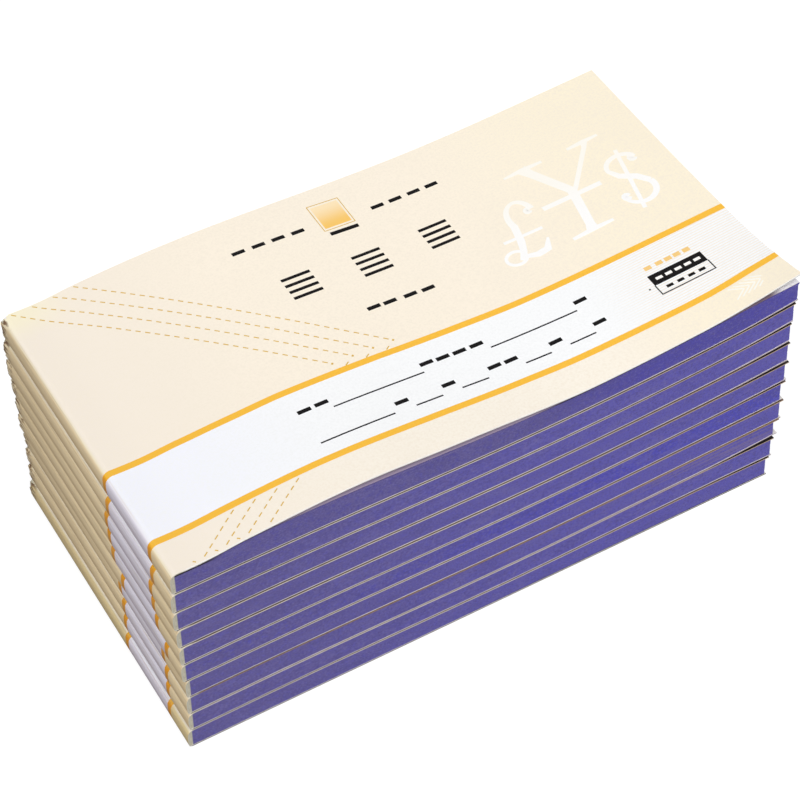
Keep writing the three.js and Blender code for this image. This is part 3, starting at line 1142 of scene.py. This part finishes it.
# Noises in the dye, as cells per mm, detail and shift, and the coats that they bring out
DYE_NOISES = {
    "mottle": ((0.8, 0.8, 1.2), 4.0, 0),
    "patches": ((0.1, 0.1, 0.25), 3.0, 5),
    "specks": ((1.7, 1.7, 2.2), 3.0, 9),
    "leaves": ((0.04, 0.04, 7.0), 2.0, 0),
}
DYE_COATS = [
    ("mottle", (0.5, 0.68, 0.35), DYE_RED),
    ("mottle", (0.5, 0.32, 0.5), None),  # None stands for the far dye
    ("patches", (0.5, 0.75, 0.4), DYE_PALE),
    ("patches", (0.48, 0.25, 0.35), DYE_DARK),
    ("specks", (0.5, 0.28, 0.85), DYE_DARK),
    ("specks", (0.5, 0.72, 0.75), DYE_PALE),
    ("leaves", (0.5, 0.25, 0.3), DYE_DARK),
]
DYE_SHIFT = 3.7  # of the noise, from book to book
FANNED_BOOK = 8
FANNED_X = (100, 140)
FANNED_PARTS = (0.5, 0.62, 0.55)
FOOT_X = (60, 110)
FOOT_Z = (0.75, 0.5, 0.8)
TOP_JOINT_X = (14, 8)
TOP_JOINT_Z = (5.75, 5.95)
GLUE_X = (1.15, 0.85)


def dye_finish(book):
    """Trimmed leaf edges under violet dye: fine lines of leaves, and an uneven, mottled coat, with
    painted shade at the bottom book's foot and in the joint under the top book's cover.
    """
    finish = Finish(f"dyed_leaf_edges_{book.number:02d}", roughness=0.7)
    x, height = finish.x, finish.z
    shift = DYE_SHIFT * book.number
    noises = {
        name: finish.noise(cells, detail, shift + further)
        for name, (cells, detail, further) in DYE_NOISES.items()
    }
    far_tone, far_from = FAR_DYES.get(book.number, OTHER_FAR_DYE)
    tone = finish.coat(DYE, far_tone, x, far_from, *FAR_DYE_END)
    for name, window, over in DYE_COATS:
        tone = finish.coat(tone, over or far_tone, noises[name], *window)
    if book.number == FANNED_BOOK:
        fanned = finish.noise((0.03, 0.03, 1.8), detail=3.0, shift=shift)
        tone = finish.mix(finish.within(x, FANNED_X, fanned, FANNED_PARTS), tone, DYE_WORN)
    # Painted shade along the foot of the bottom book's leaf edges
    if book.number == BOOK_COUNT:
        tone = finish.mix(finish.within(x, FOOT_X, height, FOOT_Z), tone, SHADE_BY_SPINE)
    # Painted shade in the joint under the top book's cover, by the spine
    if book.is_top:
        in_joint = finish.within(x, TOP_JOINT_X, height, TOP_JOINT_Z)
        tone = finish.mix(in_joint, tone, SHADE_BY_SPINE)
    tone = finish.coat(tone, GLUE_TINT, x, *GLUE_X)
    return finish.paint(tone, noises["leaves"], strength=0.5, distance=0.05)


SHADE_LIFTED = colour(88, 78, 134)
SHADE_PRESSED = colour(14, 10, 22)
# Coats over the loose leaves' edges, with their windows along X
SHADE_COATS = [(SHADE_LIFTED, (10, 24)), (SHADE_PRESSED, (95, 108)), (SHADE_LIFTED, (148, 158))]
SHADE_GRAIN = (0.5, 0.8, 0.3)


def shaded_edge_finish():
    """The loose leaves' dyed edges, dark in the narrow joint under the cover."""
    finish = Finish("shaded_leaf_edges", roughness=0.8)
    grain = finish.noise((0.6, 0.6, 2.0), detail=3.0)
    tone = SHADE_BY_SPINE
    for over, window in SHADE_COATS:
        tone = finish.coat(tone, over, finish.x, *window)
    return finish.paint(finish.coat(tone, DYE_DARK, grain, *SHADE_GRAIN))


BLEED_SHADE_DARK = colour(88, 76, 112)
BLEED_SHADE_PALE = colour(176, 160, 186)
BLEED_SHADE_DULL = colour(134, 114, 130)
BLEED_SHADE_PALE_FROM_X = (22, 38)
BLEED_SHADE_PALE_TO_X = (108, 96)
BLEED_SHADE_DULL_X = (148, 156)
BLEED_SHADE_Y = (2.4, 1.8)
BLEED_SHADE_X = (171, 166)
PAPER_FIBRES = (0.4, 0.75)


def paper_finish(name, flat, deep):
    """Paper, with the dye bled a little way in from its front edge, under painted shade from the top
    cover: darker where the cover lies close, paler where it lifts, duller under its curled corner.
    """
    finish = Finish(name, roughness=0.8)
    fibres = finish.noise((1.2, 1.2, 1.2), detail=4.0)
    tone = finish.coat(flat, deep, fibres, *PAPER_FIBRES)
    # Painted shade over the dye bleed: paler where the top cover lifts, darker where it lies close
    lifted = finish.within(finish.x, BLEED_SHADE_PALE_FROM_X, finish.x, BLEED_SHADE_PALE_TO_X)
    bleed_and_shade = finish.mix(lifted, BLEED_SHADE_DARK, BLEED_SHADE_PALE)
    bleed_and_shade = finish.coat(bleed_and_shade, BLEED_SHADE_DULL, finish.x, *BLEED_SHADE_DULL_X)
    tone = finish.mix(finish.within(finish.y, BLEED_SHADE_Y, finish.x, BLEED_SHADE_X), tone, bleed_and_shade)
    return finish.paint(tone, fibres, strength=0.2, distance=0.02)


def wire_finish():
    finish = Finish("staple_wire", roughness=0.3)
    finish.shader.inputs["Metallic"].default_value = 1.0
    scratches = finish.noise((4.0, 4.0, 4.0), detail=3.0, through=True)
    return finish.paint(finish.mix(scratches, *tones((206, 208, 212), (176, 178, 182))))


CREAM = colour(255, 244, 226)
STRIPE = colour(254, 194, 58)
BAND = colour(253, 254, 255)
# Down the spine, the card's own warmer tones under painted light: a painted highlight at its upper
# edge, then its middle, darker near its lower edge, and painted shade in the joint below
CREAM_SPINE = tones((250, 238, 208), (241, 218, 176), (216, 189, 142), (84, 58, 30))
STRIPE_SPINE = tones((252, 186, 30), (236, 158, 8), (196, 124, 2), (140, 88, 12))
OLIVE_SPINE = tones((246, 234, 196), (232, 210, 158), (210, 185, 132), (84, 64, 34))
BAND_SPINE = tones((250, 247, 254), (234, 228, 240), (200, 188, 202), (116, 104, 112))
# The bare inner side of the card: its paler and its duller tone
INNER_TONES = tones((240, 236, 228), (226, 220, 209))

# Tones of a cover's cut edges: pale, stained, and at the free end
# BRIGHT_CUT, on the top book's front edge, is partly painted highlight
BRIGHT_CUT = tones((255, 252, 246), (246, 238, 226), (255, 252, 246))
PALE_CUT = tones((250, 240, 220), (232, 218, 198), (212, 186, 158))
BACK_CUT = tones((194, 176, 154), (150, 130, 120), (196, 178, 190))
BROWN_CUT = tones((176, 146, 124), (136, 106, 94), (190, 160, 136))
# DARK_CUT is painted shade along the bottom book's back cover edge, where it meets the floor
DARK_CUT = tones((84, 62, 66), (62, 42, 48), (50, 32, 30))
# What they turn to near the spine, and the window along X
CUT_AT_GLUE = (GLUE_TINT, 4.0, 2.0)
CUT_AT_SPINE = (colour(88, 74, 78), 60, 20)
# Painted shade in the joint below a back cover's cut edge, plain and brown
JOINT, BROWN_JOINT = tones((34, 24, 24), (104, 82, 70))
# Painted shade in the joint along a cover's front edge, seen from above, and on the top book a
# painted highlight
# there: near the spine, at the free end, and a window along X whose top says how much deeper it goes
# at the free end, in mm
HIGHLIT_FACE = (*tones((255, 254, 251), (255, 254, 251)), (0, 1, -0.22))
SHADED_FACE = (*tones((60, 48, 48), (12, 8, 8)), (130, 162, 0.6))
TAN_FACE = (*tones((116, 94, 86), (26, 17, 15)), (152, 170, 0.2))
PALE_TAN_FACE = (*tones((128, 106, 94), (116, 92, 76)), (152, 170, 0.1))
BROWN_FACE = (*tones((146, 122, 106), (150, 122, 106)), (100, 150, 0.15))
PALE_FACE = (*tones((206, 190, 200), (22, 15, 14)), (150, 158, 1.6))
PLAIN_EDGES = {
    "face": SHADED_FACE, "front": PALE_CUT, "back": BACK_CUT, "joint": JOINT, "spine": CREAM_SPINE,
}
# By book, where they differ
OTHER_EDGES = {
    # The top book: a painted highlight along its front edge, and a front cut edge that is partly
    # painted highlight
    1: {"face": HIGHLIT_FACE, "front": BRIGHT_CUT},
    4: {"face": TAN_FACE},
    5: {"face": TAN_FACE},
    6: {"face": TAN_FACE},
    7: {"face": PALE_TAN_FACE, "back": BROWN_CUT, "joint": BROWN_JOINT},
    8: {"face": BROWN_FACE, "front": BROWN_CUT},
    9: {"face": PALE_FACE},
    10: {"face": TAN_FACE, "back": DARK_CUT, "spine": OLIVE_SPINE},
}


def make_cover_finishes(set_name, **other_edges):
    """One set of card finishes, in the order of COVER_FINISHES."""
    edges = {**PLAIN_EDGES, **other_edges}
    cream, stripe, band = f"{set_name}_cream", f"{set_name}_stripe", f"{set_name}_band"
    return [
        card_finish(cream, CREAM, edges["spine"], edges),
        card_finish(stripe, STRIPE, STRIPE_SPINE, edges),
        card_finish(band, BAND, BAND_SPINE, edges, hatched=True),
        cut_finish(f"{set_name}_cut_front", edges["front"], CUT_AT_GLUE),
        cut_finish(f"{set_name}_cut_back", edges["back"], CUT_AT_SPINE, edges["joint"]),
        grained_finish(f"{set_name}_inner_card", INNER_CARD, *INNER_TONES),
    ]


# The pieces

books = [Book(number) for number in range(1, BOOK_COUNT + 1)]
plain_cover = make_cover_finishes("cover")
other_covers = {}
for number, other_edges in OTHER_EDGES.items():
    other_covers[number] = make_cover_finishes(f"cover_{number:02d}", **other_edges)
white_paper = paper_finish("white_paper", *tones((252, 250, 255), (244, 241, 250)))
pink_paper = paper_finish("pink_paper", *tones((244, 208, 214), (236, 194, 202)))
shield_card = paper_finish("shield_card", *tones((222, 210, 184), (206, 192, 164)))
shaded_edges = shaded_edge_finish()
glue = grained_finish("spine_glue", GLUE, *tones((222, 216, 196), (200, 194, 172)))
wire = wire_finish()


def paint_staples(book):
    for side in ("front", "back"):
        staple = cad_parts[f"{book.name}_staple_{side}"]
        staple.data.materials.clear()
        staple.data.materials.append(wire)


def make_opening_pieces(book, cover_finishes, dyed):
    """The top book's front cover, and the three sheets that can be turned under it."""
    make_front_cover(book, cover_finishes)
    sheets = [
        ("top_copy", TOP_COPY_DEPTH, LEAF_THICKNESS, [white_paper, shaded_edges], "top_copy_paper"),
        ("second_copy", SECOND_COPY_DEPTH, LEAF_THICKNESS, [pink_paper, shaded_edges],
         "second_copy_paper"),
        ("writing_shield", SHIELD_DEPTH, SHIELD_THICKNESS, [shield_card, dyed], "shield_board"),
    ]
    for sheet in sheets:
        make_loose_leaf(book, *sheet)


for book in books:
    dyed = dye_finish(book)
    cover_finishes = other_covers.get(book.number, plain_cover)
    make_wrap(book, cover_finishes)
    make_block(book, [white_paper, dyed])
    make_glue(book, glue)
    paint_staples(book)
    if book.is_top:
        make_opening_pieces(book, cover_finishes, dyed)

dark_ink = grained_finish("ink_dark", INK, *tones((24, 22, 23), (46, 43, 44)), gloss=0.1)
line_ink = grained_finish("ink_line", INK, *tones((26, 24, 28), (56, 54, 58)), gloss=0.1)
gold_ink = grained_finish("ink_gold", INK, *tones((216, 178, 74), (228, 196, 106)))
note_ink = grained_finish("ink_note", INK, *tones((248, 206, 128), (252, 226, 176)))
pale_ink = grained_finish("ink_pale", INK, *tones((255, 252, 248), (254, 248, 240)))
chevron_ink = grained_finish("ink_chevrons", INK, *tones((255, 252, 243), (255, 248, 234)))
badge_ink = fading_ink("ink_badge", *BADGE_TONES, *BADGE_FADE_Y)
sign_ink = fading_ink("ink_signs", *SIGN_TONES, *SIGN_FADE_Y)
top_book = books[0]
lay_dashes(top_book, gold_ink)
lay_plain_bars(top_book, dark_ink)
lay_blank_lines(top_book, line_ink)
lay_label(top_book, dark_ink, pale_ink, note_ink)
lay_badge(top_book, badge_ink, gold_ink)
lay_pale_signs(top_book, sign_ink)
lay_chevrons(top_book, chevron_ink)


# Floor, light and camera

FLOOR_HALF = 3.0  # metres
FLOOR_DROP = 0.00003  # metres below the stack
FLOOR_PALE = 0.3
FLOOR_ROUGHNESS = 0.9
FLOOR_SHOWN = 0.8  # added where the camera sees it


def make_floor():
    mesh = bpy.data.meshes.new("floor")
    h, z = FLOOR_HALF, -FLOOR_DROP
    mesh.from_pydata([(-h, -h, z), (h, -h, z), (h, h, z), (-h, h, z)], [], [(0, 1, 2, 3)])
    floor = add_object("floor", mesh)
    material = bpy.data.materials.new("floor_pale")
    material.use_nodes = True
    shader = material.node_tree.nodes["Principled BSDF"]
    looks = {
        "Base Color": (FLOOR_PALE, FLOOR_PALE, FLOOR_PALE, 1),
        "Roughness": FLOOR_ROUGHNESS,
        "Specular IOR Level": 0.0,
        "Emission Color": (1, 1, 1, 1),
    }
    for name, value in looks.items():
        shader.inputs[name].default_value = value
    seen = material.node_tree.nodes.new("ShaderNodeLightPath")
    amount = material.node_tree.nodes.new("ShaderNodeMath")
    amount.operation = "MULTIPLY"
    amount.inputs[1].default_value = FLOOR_SHOWN
    links = material.node_tree.links
    links.new(seen.outputs["Is Camera Ray"], amount.inputs[0])
    links.new(amount.outputs[0], shader.inputs["Emission Strength"])
    mesh.materials.append(material)


WORLD_LIGHT = 0.42
# Two wide, soft lamps: towards each from the object, its power, and its spread in degrees
KEY_LAMP = ((0.1, -0.55, 0.83), 1.25, 50)
FILL_LAMP = ((-0.6, -0.25, 0.76), 1.05, 60)


def make_light():
    world = bpy.data.worlds.new("studio")
    bpy.context.scene.world = world
    world.use_nodes = True
    nodes, links = world.node_tree.nodes, world.node_tree.links
    background = nodes["Background"]
    background.inputs["Color"].default_value = (1, 1, 1, 1)
    seen = nodes.new("ShaderNodeLightPath")
    strength = nodes.new("ShaderNodeMapRange")
    strength.inputs["To Min"].default_value = WORLD_LIGHT
    strength.inputs["To Max"].default_value = 1.0
    links.new(seen.outputs["Is Camera Ray"], strength.inputs["Value"])
    links.new(strength.outputs["Result"], background.inputs["Strength"])
    add_lamp("key", *KEY_LAMP)
    add_lamp("fill", *FILL_LAMP)


def add_lamp(name, towards, power, wide):
    light = bpy.data.lights.new(name, "SUN")
    light.energy = power
    light.angle = math.radians(wide)
    lamp = add_object(name, light)
    lamp.rotation_euler = Vector(towards).to_track_quat("Z", "Y").to_euler()


CAMERA_PLACE = (-0.20839, -0.35187, 0.48483)  # metres
CAMERA_AZIMUTH = -30.61
CAMERA_ELEVATION = 47.79
CAMERA_ROLL = 0.26
CAMERA_LENS = 105.35


def make_camera():
    a, e, r = (math.radians(d) for d in (CAMERA_AZIMUTH, CAMERA_ELEVATION, CAMERA_ROLL))
    back = Vector((math.sin(a) * math.cos(e), -math.cos(a) * math.cos(e), math.sin(e)))
    level_right = Vector((math.cos(a), math.sin(a), 0))
    level_up = back.cross(level_right)
    right = level_right * math.cos(r) + level_up * math.sin(r)
    up = level_up * math.cos(r) - level_right * math.sin(r)
    data = bpy.data.cameras.new("camera")
    data.sensor_width = 36
    data.lens = CAMERA_LENS
    camera = add_object("camera", data)
    turn = Matrix((right, up, back)).transposed().to_4x4()
    camera.matrix_world = Matrix.Translation(CAMERA_PLACE) @ turn
    bpy.context.scene.camera = camera


make_floor()
make_light()
make_camera()
bpy.context.scene.view_settings.view_transform = "Standard"
